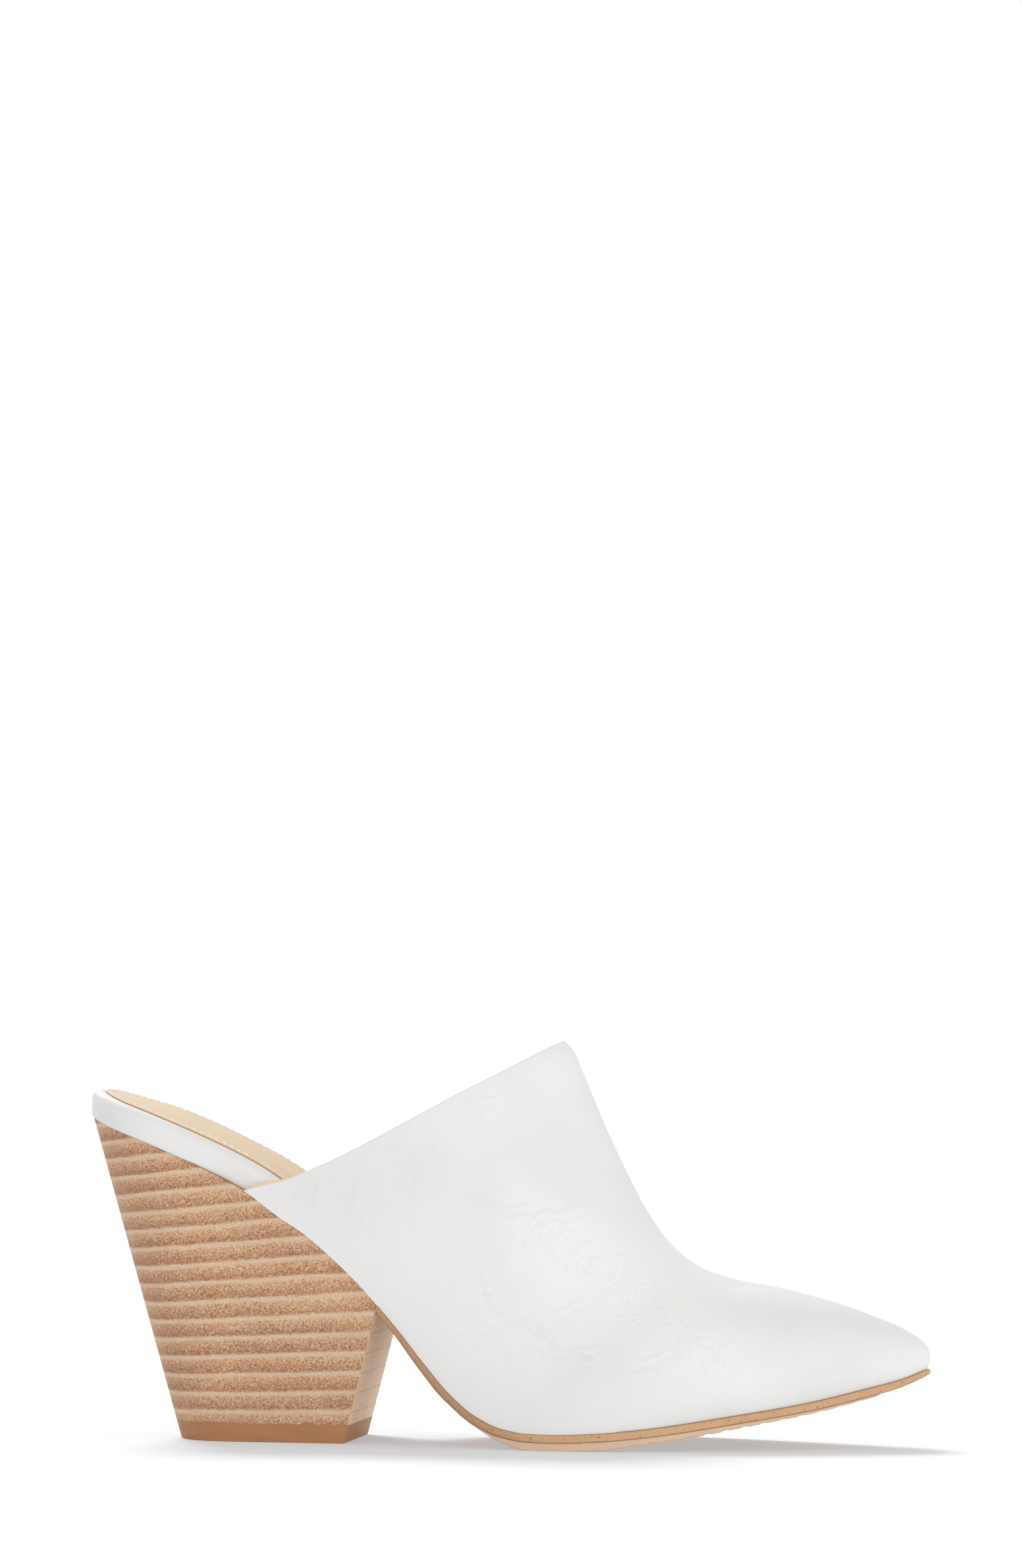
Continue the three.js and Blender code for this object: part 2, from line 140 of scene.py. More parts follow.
# Sections of the upper from the topline to the toe
SECTIONS = {
    "foot": [0.204, 0.24, 0.27, 0.31, 0.358, 0.412, 0.468, 0.528,
             0.595, 0.672, 0.757, 0.842, 0.912, 0.96, 0.986, 0.9985],
    "ridge": [0.5655, 0.5755, 0.588, 0.6095, 0.6365, 0.666, 0.695, 0.73,
              0.773, 0.826, 0.883, 0.933, 0.968, 0.991, 1.0005, 1.003],
    "top": [1, 0.977, 0.916, 0.803, 0.673, 0.545, 0.453, 0.385,
            0.34, 0.301, 0.246, 0.183, 0.133, 0.084, 0.052, 0.027],
    "lean": [0.04, 0.045, 0.05, 0.06, 0.075, 0.1, 0.13, 0.15,
             0.16, 0.15, 0.13, 0.12, 0.112, 0.107, 0.105, 0.105],
    "bulge": [0, 0.02, 0.06, 0.13, 0.18, 0.17, 0.11, 0.065,
              0.05, 0.04, 0.03, 0.02, 0.015, 0.01, 0.005, 0],
    "sag": [0.036, 0.028, 0.02, 0.01, 0, 0, 0, 0, 0, 0, 0, 0, 0, 0, 0, 0],
    "rise": [0.52, 0.5, 0.48, 0.46, 0.45, 0.44, 0.42, 0.4,
             0.37, 0.34, 0.32, 0.32, 0.34, 0.38, 0.42, 0.45],
    "crown": [0.74, 0.74, 0.74, 0.74, 0.74, 0.74, 0.74, 0.73,
              0.71, 0.68, 0.66, 0.65, 0.65, 0.65, 0.65, 0.65],
}

# The tread's thickness, as shares of its full thickness
TREAD = {
    "along": [0.462, 0.484, 0.517, 0.546, 0.58, 0.61, 0.64, 0.665, 0.7, 0.75, 0.8, 0.85, 0.9, 0.95],
    "share": [0.1, 0.3, 0.65, 1.12, 1.13, 1.18, 1.15, 0.95, 0.8, 0.74, 0.5, 0.34, 0.24, 0.12],
}


def curve_through(table, key, column):
    """A smooth curve through a table's column, with no bumps that its rows don't have."""
    x = np.array(table[key], float)
    y = np.array(table[column], float)
    rises = np.diff(y) / np.diff(x)
    before, after = rises[:-1], rises[1:]
    total = np.where(before * after > 0, before + after, 1)
    inner = np.where(before * after > 0, 2 * before * after / total, 0)
    slopes = np.concatenate([rises[:1], inner, rises[-1:]])

    def at(where):
        where = np.asarray(where, float)
        i = np.clip(np.searchsorted(x, where) - 1, 0, len(x) - 2)
        span = x[i + 1] - x[i]
        t = np.clip((where - x[i]) / span, 0, 1)
        bend = slopes[i] * (t**3 - 2 * t**2 + t) + slopes[i + 1] * (t**3 - t**2)
        return y[i] * (2 * t**3 - 3 * t**2 + 1) + y[i + 1] * (3 * t**2 - 2 * t**3) + span * bend

    return at


def smooth(where, low, high):
    """0 up to low, 1 from high, and smooth in between."""
    t = np.clip((np.asarray(where, float) - low) / (high - low), 0, 1)
    return t * t * (3 - 2 * t)


def lerp(a, b, share):
    """From a at share 0 to b at share 1."""
    return a + (b - a) * share


# The last's bottom
plan_middle = curve_through(PLAN, "along", "middle")
plan_half = curve_through(PLAN, "along", "half")
seat_share = curve_through(SIDE, "along", "seat")
spring_share = curve_through(SIDE, "along", "spring")


def half_width(x):
    """Half the width of the last's bottom."""
    heel_end = np.maximum(0, 1 - x / SEAT_ROUND)
    toe_end = np.maximum(0, (x - LAST_LENGTH + TOE_ROUND) / TOE_ROUND)
    rounding = np.sqrt(np.maximum(0, 1 - heel_end**2) * np.maximum(0, 1 - toe_end**2))
    return HALF_BALL * plan_half(x / LAST_LENGTH) * rounding


def middle(x):
    """Where the last's bottom has its middle, across the shoe."""
    return HALF_BALL * plan_middle(x / LAST_LENGTH)


def bottom_height(x):
    """How high the last's bottom line is over the floor."""
    seat = (HEEL_HEIGHT - BALL_HEIGHT) * seat_share(x / LAST_LENGTH)
    return BALL_HEIGHT + seat + TOE_SPRING * spring_share(x / LAST_LENGTH)


def bottom_point(x, y, layers):
    """A point over or under the last's bottom line, as far up as a layer that thick needs."""
    step = 0.5
    slope = (bottom_height(x + step) - bottom_height(x - step)) / (2 * step)
    return np.stack([x, y, bottom_height(x) + layers * np.hypot(1, slope)], axis=-1)


# The frame's origin is under the middle of the shoe
seat_back = SEAT_ROUND * (1 - math.cos(BLUNT_END * math.pi / 2))
nose = SECTIONS["ridge"][-1] * LAST_LENGTH
everywhere = np.linspace(seat_back, LAST_LENGTH, 600)
inner_edge = (middle(everywhere) + half_width(everywhere)).max()
outer_edge = (middle(everywhere) - half_width(everywhere)).min()
CENTRE = np.array([(seat_back + nose) / 2, (inner_edge + outer_edge) / 2, 0])


def mesh_piece(name, points, faces, material, sharp=40):
    """A piece from points in the shoe's millimetres. Edges sharper than sharp degrees stay crisp."""
    mesh = bpy.data.meshes.new(name)
    mesh.from_pydata(((np.asarray(points) - CENTRE) * MM).tolist(), [], faces)
    edit = bmesh.new()
    edit.from_mesh(mesh)
    bmesh.ops.recalc_face_normals(edit, faces=edit.faces)
    edit.to_mesh(mesh)
    edit.free()
    mesh.shade_smooth()
    mesh.set_sharp_from_angle(angle=math.radians(sharp))
    piece = bpy.data.objects.new(name, mesh)
    bpy.context.scene.collection.objects.link(piece)
    mesh.materials.append(material)
    return piece


def grid_faces(rows, columns, start=0, closed=False):
    """Quads of a grid of points that are listed row after row."""
    faces = []
    for row in range(rows - 1):
        for column in range(columns - (0 if closed else 1)):
            a = start + row * columns + column
            b = start + row * columns + (column + 1) % columns
            faces.append((a, b, b + columns, a + columns))
    return faces


def body_through(loops):
    """Points and faces of a closed body through loops of equal count, with strips across both ends."""
    count = len(loops[0])
    faces = grid_faces(len(loops), count, closed=True)
    top = (len(loops) - 1) * count
    for i in range(count // 2 - 1):
        across = count - 1 - i
        faces.append((i, across, across - 1, i + 1))
        faces.append((top + i, top + i + 1, top + across - 1, top + across))
    return np.concatenate(loops), faces


def quarter_turn(steps):
    """The sine and cosine of every angle from 0 to a right angle, in so many steps."""
    angles = np.linspace(0, math.pi / 2, steps + 1)
    return zip(np.sin(angles), np.cos(angles))


def places(start, end, spacing):
    """Places along the shoe, closer together where an end is round."""
    steps = 22
    angles = np.linspace(BLUNT_END, 1, steps)[:-1] * math.pi / 2
    seat = SEAT_ROUND * (1 - np.cos(angles))
    toe = LAST_LENGTH - TOE_ROUND * (1 - np.cos(angles))
    straight = np.linspace(SEAT_ROUND, LAST_LENGTH - TOE_ROUND, round(LAST_LENGTH / spacing))
    found = np.sort(np.concatenate([seat, straight, toe]))
    start, end = max(start, found[0]), min(end, found[-1])
    near = spacing / 5
    inside = found[(found > start + near) & (found < end - near)]
    ends = found[(found <= start + near) & (found > start)], found[(found >= end - near) & (found < end)]
    extra = [part if start <= seat_back or end >= toe.max() else part[:0] for part in ends]
    return np.unique(np.concatenate([[start], extra[0], inside, extra[1], [end]]))


def plate_loop(xs, inset, layers):
    """A loop round a plate: the inner side from back to front, then the outer side back again."""
    half = half_width(xs)
    inset = np.broadcast_to(inset, xs.shape)
    step = 0.01
    slope = (half_width(xs + step) - half_width(xs - step)) / (2 * step)
    plain = smooth(xs, SEAT_ROUND, 2 * SEAT_ROUND)
    square = np.hypot(1, slope)
    kept = lerp(half - inset / square, np.maximum(half - inset, NARROWEST * half), plain)
    moved = lerp(xs + inset * slope / square, xs - inset * (2 * xs / LAST_LENGTH - 1), plain)
    sides = [bottom_point(moved, middle(xs) + side * kept, layers) for side in (1, -1)]
    return np.concatenate([sides[0], sides[1][::-1]])


# The upper's outer face. row runs from 0 at the topline to 1 at the toe, and across from -1 at the outer
# side's bottom edge, over 0 at the ridge, to 1 at the inner side's.
SECTIONS["at"] = np.linspace(0, 1, len(SECTIONS["foot"]))
column = {name: curve_through(SECTIONS, "at", name) for name in SECTIONS if name != "at"}


def ridge_point(row, inset):
    """Points of the upper's ridge at one depth under its outer face."""
    def place(where):
        x = column["ridge"](where) * LAST_LENGTH
        return np.stack([x, 0 * x, bottom_height(x) + column["top"](where) * INSTEP_HEIGHT], axis=-1)

    step = 0.01
    run = place(np.minimum(1, row + step)) - place(np.maximum(0, row - step))
    run /= np.linalg.norm(run, axis=-1, keepdims=True)
    inward = np.stack([run[..., 2], 0 * run[..., 2], -run[..., 0]], axis=-1)
    point = place(row) + inward * inset
    point[..., 1] = HALF_BALL * column["lean"](row)
    return point


UPPER_START = SECTIONS["foot"][0] * LAST_LENGTH
TUCK_FULL = UPPER_START + 14
TUCK_FADE = UPPER_START + 20
TUCK_END = UPPER_START + 62
TUCK_ROWS = 0.16


def upper_face(row, across, inset):
    """Points of the upper at one depth under its outer face, for arrays of rows and places across."""
    most_inset = 0.3  # of the half width
    sign = np.where(across > 0, 1.0, -1.0)
    t = (1 - np.abs(across))[..., None]
    foot = column["foot"](row) * LAST_LENGTH
    half = half_width(foot)
    kept = half - np.minimum(inset, half * most_inset)
    pulled = foot - inset * smooth(foot, LAST_LENGTH - 3 * TOE_ROUND, LAST_LENGTH)
    ridge = ridge_point(row, inset)
    edge = np.stack([pulled, middle(foot) + sign * kept, bottom_height(pulled)], axis=-1)
    upright = lerp(edge, ridge, column["rise"](row)[..., None])
    upright[..., 2] -= INSTEP_HEIGHT * column["sag"](row)
    upright[..., 1] = edge[..., 1] + sign * HALF_BALL * column["bulge"](row)
    crown = ridge.copy()
    crown[..., 1] += column["crown"](row) * (edge[..., 1] - ridge[..., 1])
    point = edge * (1 - t) ** 3 + upright * 3 * t * (1 - t) ** 2 + crown * 3 * t**2 * (1 - t) + ridge * t**3
    x = point[..., 0]
    tucked = smooth(x, UPPER_START, TUCK_FULL) * (1 - smooth(x, TUCK_FADE, TUCK_END))
    point[..., 2] -= TUCK * tucked * (1 - smooth(row, 0, TUCK_ROWS))
    return point


def normals_of(grid):
    """Outward normals of a grid of points."""
    along = np.gradient(grid, axis=0)
    over = np.gradient(grid, axis=1)
    normal = np.cross(over, along)
    normal /= np.maximum(np.linalg.norm(normal, axis=-1, keepdims=True), 1e-9)
    return normal


def smooth_line(points, count):
    """A soft curve through given points, as many points as asked for."""
    points = np.array(points, float)
    gaps = np.linalg.norm(np.diff(points, axis=0), axis=1)
    at = np.concatenate([[0], np.cumsum(gaps)])
    padded = np.concatenate([[2 * points[0] - points[1]], points, [2 * points[-1] - points[-2]]])
    where = np.linspace(0, at[-1], count)
    i = np.clip(np.searchsorted(at, where, side="right") - 1, 0, len(points) - 2)
    t = ((where - at[i]) / (at[i + 1] - at[i]))[:, None]
    a, b, c, d = padded[i], padded[i + 1], padded[i + 2], padded[i + 3]
    return 0.5 * (2 * b + (c - a) * t + (2 * a - 5 * b + 4 * c - d) * t**2 + (3 * b - a - 3 * c + d) * t**3)


def crease_depth(x, z, line, width, depth):
    """How far a crease moves points out: a soft trough along its line, with a low ridge on each side."""
    ridge_away, ridge_width, ridge_share = 2, 0.9, 0.4
    end_share = 0.02
    curve = smooth_line(line, count=40)
    reach = 4 * width
    low, high = curve.min(axis=0) - reach, curve.max(axis=0) + reach
    near = (x > low[0]) & (x < high[0]) & (z > low[1]) & (z < high[1])
    moved = np.zeros(x.shape)
    points = np.stack([x[near], z[near]], axis=-1)
    if len(points) == 0:
        return moved
    start, run = curve[:-1], np.diff(curve, axis=0)
    length = (run**2).sum(axis=1)
    t = np.clip(((points[:, None] - start) * run).sum(axis=2) / length, 0, 1)
    away = np.linalg.norm(points[:, None] - start - t[..., None] * run, axis=2)
    nearest = away.argmin(axis=1)
    distance = away.min(axis=1) / width
    along = (nearest + t[np.arange(len(points)), nearest]) / len(run)
    taper = np.sqrt(np.maximum(0, np.sin(np.pi * np.clip(along, end_share, 1 - end_share))))
    trough = np.exp(-(distance**2))
    ridge = np.exp(-(((distance - ridge_away) / ridge_width) ** 2))
    moved[near] = depth * taper * (ridge_share * ridge - trough)
    return moved


# Creases on the upper's outer and inner sides. Each is a line of (place along, height),
# with its half width and its depth.
FINE, MAIN = 0.5, 0.64
FAINT, SOFT, CLEAR, DEEP = 0.16, 0.26, 0.4, 0.52
OUTER_CREASES = [
    ([(93, 89.5), (93, 87), (94, 84), (95.5, 80), (96, 75), (95.5, 70), (96, 65), (96, 59.5),
      (96.5, 56.5)], FINE, SOFT),
    ([(97, 84.5), (97, 80), (98, 77), (99, 74.5), (100.5, 70), (102.5, 66)], FINE, SOFT),
    ([(92, 81.5), (93, 77.5), (93.5, 73.5), (94.5, 71)], FINE, FAINT),
    ([(87, 77.5), (87, 72.5), (86.5, 70)], FINE, FAINT),
    ([(87, 66), (85, 63.5), (84.5, 59.5), (84, 56.5), (83, 53)], FINE, SOFT),
    ([(83, 66), (81.5, 62.5), (79.5, 59.5), (78.5, 55.5)], FINE, SOFT),
    ([(76.5, 71), (76, 66), (75.5, 62), (75, 58)], FINE, SOFT),
    ([(78, 82.5), (77, 77.5), (76.5, 72)], FINE, FAINT),
    ([(80.5, 80), (80.5, 76), (79, 71), (78.5, 66), (77, 61.5)], FINE, SOFT),
    ([(73.5, 79), (73, 74.5), (72, 71), (71.5, 67)], FINE, FAINT),
    ([(69.5, 77), (69.5, 73), (68.5, 68.5), (66.5, 63)], FINE, SOFT),
    ([(67, 76), (67, 72), (66, 68), (65, 64.5)], FINE, SOFT),
    ([(63.5, 74.5), (62.5, 69.5), (61.5, 65.5)], FINE, SOFT),
    ([(65.5, 74.5), (64.5, 71), (64, 67)], FINE, FAINT),
    ([(83.5, 81), (83, 77.5), (82.5, 72.5), (82, 68.5)], FINE, FAINT),
    ([(101.5, 86), (101, 82), (101, 77.5), (101, 75)], FINE, SOFT),
    ([(104, 80), (104.5, 76.5), (104.5, 74.5)], FINE, FAINT),
    ([(90, 86.5), (89.5, 82.5), (90.5, 80)], FINE, FAINT),
    ([(74.5, 76), (74.5, 71), (73.5, 65)], FINE, FAINT),
    ([(71, 77), (70.5, 72), (69.5, 66.5)], FINE, FAINT),
    ([(109, 96), (111.5, 94), (114.5, 91.5)], MAIN, CLEAR),
    ([(114.5, 102), (117, 100), (120, 98), (124, 95.5)], FINE, SOFT),
    ([(111, 97.5), (114.5, 96), (118.5, 97)], FINE, SOFT),
    ([(117.5, 104.5), (120, 102), (122, 99.5)], FINE, SOFT),
    ([(121, 105.5), (122.5, 103.5), (124, 100.5)], FINE, FAINT),
    ([(116.5, 95), (118, 93.5), (119, 92)], FINE, FAINT),
    ([(108, 67.5), (110, 69), (112.5, 68.5), (115, 67.5), (118, 67), (122, 65.5), (125.5, 66.5),
      (129.5, 65.5)], MAIN, CLEAR),
    ([(121.5, 63), (125, 64), (128, 63), (130.5, 65), (134.5, 64.5), (138, 65.5), (141, 66.5)], MAIN, CLEAR),
    ([(127, 58.5), (131, 61.5), (133, 62), (137, 61.5), (140, 62.5), (143, 62)], MAIN, SOFT),
    ([(112, 60), (116, 59.5)], FINE, SOFT),
    ([(115, 71.5), (118, 72), (121, 71.5), (123.5, 70)], FINE, FAINT),
    ([(105.5, 68.5), (108, 66), (109.5, 65)], FINE, SOFT),
    ([(102, 74), (105, 73), (108, 72.5)], FINE, FAINT),
    ([(126, 53.5), (126.5, 57), (129, 58), (131.5, 58.5)], FINE, SOFT),
    ([(138.5, 52.5), (141, 55), (143, 57), (145.5, 57.5)], MAIN, FAINT),
    ([(136.5, 67.5), (139.5, 68), (142.5, 69)], FINE, SOFT),
    ([(143, 47), (143.5, 50), (146, 52.5)], FINE, SOFT),
    ([(111.5, 49), (114.5, 48), (115.5, 46), (116.5, 43), (118, 39.5), (121, 37.5), (125.5, 36.5),
      (129.5, 35.5)], MAIN, CLEAR),
    ([(127, 36.5), (129.5, 35.5), (132.5, 33.5), (135.5, 31.5), (138.5, 29.5)], MAIN, CLEAR),
    ([(107.5, 42.5), (108.5, 40), (112, 38.5), (116, 39)], MAIN, SOFT),
    ([(121, 37), (123, 34.5), (127, 34.5), (130.5, 32.5), (134, 30.5), (138.5, 28), (144, 27.5)], MAIN, DEEP),
    ([(141, 28), (144, 27.5), (147.5, 28), (151.5, 26.5), (157.5, 24.5)], MAIN, CLEAR),
    ([(116, 35), (119, 34), (122.5, 33.5)], MAIN, SOFT),
    ([(103.5, 31), (110, 31.5), (116, 32), (122.5, 31)], FINE, SOFT),
    ([(126, 29), (130.5, 28), (135, 26), (141.5, 24.5), (149, 23)], MAIN, CLEAR),
    ([(122, 28.5), (123.5, 26), (124.5, 23)], FINE, SOFT),
    ([(149, 21.5), (155.5, 21), (161.5, 22), (168, 22.5)], FINE, SOFT),
    ([(138, 21), (138.5, 18)], FINE, FAINT),
    ([(132, 37.5), (137, 38), (140.5, 40), (144, 40.5)], FINE, SOFT),
    ([(141.5, 27.5), (145.5, 25.5), (148, 25)], FINE, CLEAR),
    ([(122, 41), (125.5, 40), (129, 40.5)], FINE, SOFT),
    ([(113, 28), (118, 27)], FINE, FAINT),
    ([(157.5, 24.5), (163, 25.5), (167.5, 28)], MAIN, SOFT),
]
INNER_CREASES = [
    ([(88, 86), (88.5, 80), (87, 73), (86, 66), (84, 60)], FINE, SOFT),
    ([(79, 83), (78, 76), (76.5, 69)], FINE, SOFT),
    ([(72, 78), (71.5, 72), (70, 66)], FINE, FAINT),
    ([(64.5, 75), (63.5, 70), (62, 66)], FINE, FAINT),
    ([(97, 88), (98, 82), (98, 75), (99.5, 69)], FINE, SOFT),
    ([(107, 95), (110, 91), (112, 86)], FINE, SOFT),
    ([(104, 66), (110, 64), (117, 64.5), (124, 62)], MAIN, CLEAR),
    ([(118, 58), (125, 57.5), (131, 60), (137, 60)], FINE, SOFT),
    ([(110, 46), (114, 42), (120, 39), (128, 36.5), (136, 33)], MAIN, DEEP),
    ([(118, 33), (126, 31.5), (134, 29), (143, 28)], MAIN, CLEAR),
    ([(106, 38), (112, 35), (117, 35)], FINE, SOFT),
    ([(138, 25), (146, 24.5), (154, 22.5)], FINE, SOFT),
    ([(151, 33), (157, 30), (163, 30.5)], FINE, SOFT),
]


def crease_upper(grid, across):
    """The upper's outer face with its creases pressed in along its normals."""
    ridge_end, side_start = 0.02, 0.12
    normal = normals_of(grid)
    x, z = grid[..., 0], grid[..., 2]
    moved = np.zeros(x.shape)
    for side, creases in ((-1, OUTER_CREASES), (1, INNER_CREASES)):
        here = smooth(side * across, ridge_end, side_start)
        for line, width, depth in creases:
            moved += here * crease_depth(x, z, line, width, depth)
    return grid + normal * moved[..., None]


def zip_faces(fine, coarse):
    """Faces between a line of points and one with half as many steps."""
    faces = []
    for i in range(len(coarse) - 1):
        faces.append((fine[2 * i], fine[2 * i + 1], coarse[i]))
        faces.append((fine[2 * i + 1], fine[2 * i + 2], coarse[i + 1], coarse[i]))
    return faces


def make_upper(material):
    """The leather vamp: a finely creased outer face, a folded topline and a plainer face inside."""
    rows, columns = 331, 221
    fold = 6
    at_ridge = 0.8  # how close the columns are at the ridge
    thickness = WALL - LINING
    across = np.linspace(-1, 1, columns)
    spread = across * (at_ridge + (1 - at_ridge) * across**2)
    row, side = np.meshgrid(np.linspace(0, 1, rows), spread, indexing="ij")
    outer = crease_upper(upper_face(row, side, 0), side)
    inner = upper_face(row[::2, ::2], side[::2, ::2], thickness)

    # The topline's fold, a half turn from the outer face to the inner one
    folded = []
    rim = outer[0]
    under = upper_face(row[:1], side[:1], thickness)[0]
    behind = outer[0] - outer[2]
    behind /= np.linalg.norm(behind, axis=-1, keepdims=True)
    for step in range(1, fold):
        angle = math.pi * step / fold
        turned = lerp(rim, under, (1 - math.cos(angle)) / 2)
        folded.append(turned + behind * math.sin(angle) * thickness / 2)
    parts = [np.array(folded[::-1]), outer, inner]
    points = np.concatenate([part.reshape(-1, 3) for part in parts])

    # Faces of both sides, then strips that join their edges
    fine = np.arange((rows + fold - 1) * columns).reshape(-1, columns)
    coarse = fine.size + np.arange(inner[..., 0].size).reshape(inner.shape[:2])
    faces = grid_faces(*fine.shape) + grid_faces(*coarse.shape, start=fine.size)
    faces += zip_faces(fine[0].tolist(), coarse[0].tolist())
    for end in (0, -1):
        faces += zip_faces(fine[fold - 1:, end].tolist(), coarse[:, end].tolist())
    tips = [grid[-1].tolist() for grid in (fine, coarse)]
    for tip in tips:
        faces += [(tip[0], tip[i], tip[i + 1]) for i in range(1, len(tip) - 1)]
    faces.append((tips[0][0], tips[0][-1], tips[1][-1], tips[1][0]))
    for end in (0, -1):
        faces.append((*fine[:fold, end].tolist(), int(coarse[0, end])))
    return mesh_piece("upper_leather", points, faces, material, sharp=70)


def make_lining(material):
    """The lining inside the leather, which stands out a little near the topline's corners."""
    rows, columns = 121, 81
    first, last = 0.004, 0.997
    shown_from, shown_full, corner = 0.84, 0.93, 0.985
    row, side = np.meshgrid(np.linspace(first, last, rows), np.linspace(-1, 1, columns), indexing="ij")
    faces_at = [upper_face(row, side, depth) for depth in (WALL - LINING + LINING_GAP, WALL)]
    away = np.abs(side[0])
    shown = LINING_SHOW * smooth(away, shown_from, shown_full) * (1 - smooth(away, corner, 1))
    for face in faces_at:
        behind = face[0] - face[2]
        behind /= np.linalg.norm(behind, axis=-1, keepdims=True)
        reach = shown + np.linalg.norm(face[1] - face[0], axis=-1)
        face[0] += behind * np.where(shown > 0, reach, 0)[:, None]
    count = rows * columns
    points = np.concatenate([face.reshape(-1, 3) for face in faces_at])
    faces = grid_faces(rows, columns) + grid_faces(rows, columns, start=count)
    grid = np.arange(count).reshape(rows, columns)
    edge = np.concatenate([grid[0], grid[1:, -1], grid[-1, -2::-1], grid[-2:0:-1, 0]]).tolist()
    for a, b in zip(edge, edge[1:] + edge[:1]):
        faces.append((a, b, b + count, a + count))
    return mesh_piece("upper_lining", points, faces, material, sharp=50)


def board_inset(x):
    """How far the board stays inside the last's edge. It is flush at the seat and clears the upper ahead."""
    return (WALL + 3 * CLEARANCE) * smooth(x, SEAT_ROUND, UPPER_START)


def board_thickness(x):
    """The board's thickness with its cover."""
    return lerp(BOARD_SEAT, BOARD_FOREPART, smooth(x, UPPER_START, BREAST_SET + SEAT_ROUND))


def make_rim(material):
    """The covered board with its rolled upper edge."""
    xs = places(0, LAST_LENGTH - 2 * WALL, PLATE_SPACING)
    top = board_thickness(xs) + RIM_RISE * (1 - smooth(xs, UPPER_START, BREAST_SET))
    roll = np.minimum(ROLL_DOWN, ROLL_SHARE * top)
    inset = board_inset(xs)
    loops = [plate_loop(xs, inset + BOARD_EDGE, 0)]
    upright_levels = 4
    for share in np.arange(upright_levels) / upright_levels:
        loops.append(plate_loop(xs, inset, lerp(BOARD_EDGE, top - roll, share)))
    for sine, cosine in quarter_turn(steps=10):
        loops.append(plate_loop(xs, inset + ROLL_IN * (1 - cosine), top - roll * (1 - sine)))
    points, faces = body_through(loops)
    return mesh_piece("seat_rim", points, faces, material, sharp=60)


def sock_height(x):
    """Top of the sock over the last's bottom line."""
    return board_thickness(x) + SEAM + SOCK_THICKNESS


def make_sock(material):
    """The leather sock on the board, with a rounded cut edge."""
    xs = places(0, LAST_LENGTH - TOE_ROUND, SOCK_SPACING)
    top = sock_height(xs)
    inset = board_inset(xs) + RIM_SHOW
    loops = [plate_loop(xs, inset, top - SOCK_THICKNESS)]
    for sine, cosine in quarter_turn(steps=5):
        loops.append(plate_loop(xs, inset + SOCK_ROUND * (1 - cosine), top - SOCK_ROUND * (1 - sine)))
    points, faces = body_through(loops)
    return mesh_piece("heel_sock", points, faces, material, sharp=50)


def sole_at(x):
    """The sole's thickness."""
    return lerp(SOLE_SKIVE, SOLE_THICKNESS, smooth(x, SOLE_START, SOLE_START + SOLE_SKIVE_LENGTH))


def make_sole(material):
    """The thin sole with its bevelled edge."""
    xs = places(SOLE_START, LAST_LENGTH, PLATE_SPACING)
    tip = smooth(xs, LAST_LENGTH - TOE_ROUND, LAST_LENGTH)
    thickness = sole_at(xs) * (1 - TIP_THINNER * tip)
    waist = 1 - smooth(xs, BREAST_SET + SEAT_ROUND / 2, ARCH_END)
    bevel = np.minimum(SOLE_BEVEL * (1 + tip + WAIST_BEVEL * waist), thickness / 2)
    under = -CLEARANCE - thickness
    loops = []
    for sine, cosine in quarter_turn(steps=4):
        loops.append(plate_loop(xs, bevel * (1 - sine) - SOLE_MARGIN, under + bevel * (1 - cosine)))
    for sine, cosine in quarter_turn(steps=4):
        loops.append(plate_loop(xs, bevel * (1 - cosine) - SOLE_MARGIN, -SEAM - bevel / 2 * (1 - sine)))
    points, faces = body_through(loops)
    return mesh_piece("sole_plate", points, faces, material, sharp=60)


def make_tread(material):
    """The rubber tread with rounded cross ribs, flat where it stands."""
    share = curve_through(TREAD, "along", "share")
    first = TREAD["along"][0] * LAST_LENGTH
    length = TREAD["along"][-1] * LAST_LENGTH - first
    ribs = round(length / RIB_PITCH)
    pitch = length / ribs
    land = pitch - RIB_GROOVE
    steps = 6
    rounding = np.linspace(0, RIB_ROUND, steps)
    along = np.concatenate([rounding, 1 - rounding[::-1]])
    profile = np.sin(np.linspace(0, math.pi / 2, steps))
    height = np.concatenate([profile, profile[::-1]])
    xs = (first + np.arange(ribs)[:, None] * pitch + along[None, :] * land).ravel()
    raised = np.tile(height, ribs)
    top = -CLEARANCE - SEAM - sole_at(xs)
    begun = smooth(xs, first, first + 3 * RIB_PITCH)
    full = (TREAD_THICKNESS * share(xs / LAST_LENGTH) + CLEARANCE - SEAM) * lerp(TREAD_START, 1, begun)
    groove = np.minimum(RIB_DEPTH, full / 2)
    notch = groove * lerp(NOTCH_BACK, NOTCH_FRONT, smooth(xs, BREAST_SET + SEAT_ROUND, ARCH_END))
    deep = top - full + groove * (1 - raised)
    shallow = top - full + notch * (1 - raised)
    inset = TREAD_INSET - SOLE_MARGIN + TREAD_START_INSET * (1 - begun)
    edge = np.minimum(TREAD_EDGE, full / 2)
    loops = [
        plate_loop(xs, inset + 4 * edge, deep),
        plate_loop(xs, inset + edge, shallow),
        plate_loop(xs, inset + edge * 0.3, shallow + edge * 0.3),
        plate_loop(xs, inset, shallow + edge),
        plate_loop(xs, inset, top),
    ]
    for loop in loops[:-1]:
        loop[:, 2] = np.maximum(loop[:, 2], 0)
    points, faces = body_through(loops)
    return mesh_piece("ribbed_tread", points, faces, material, sharp=50)


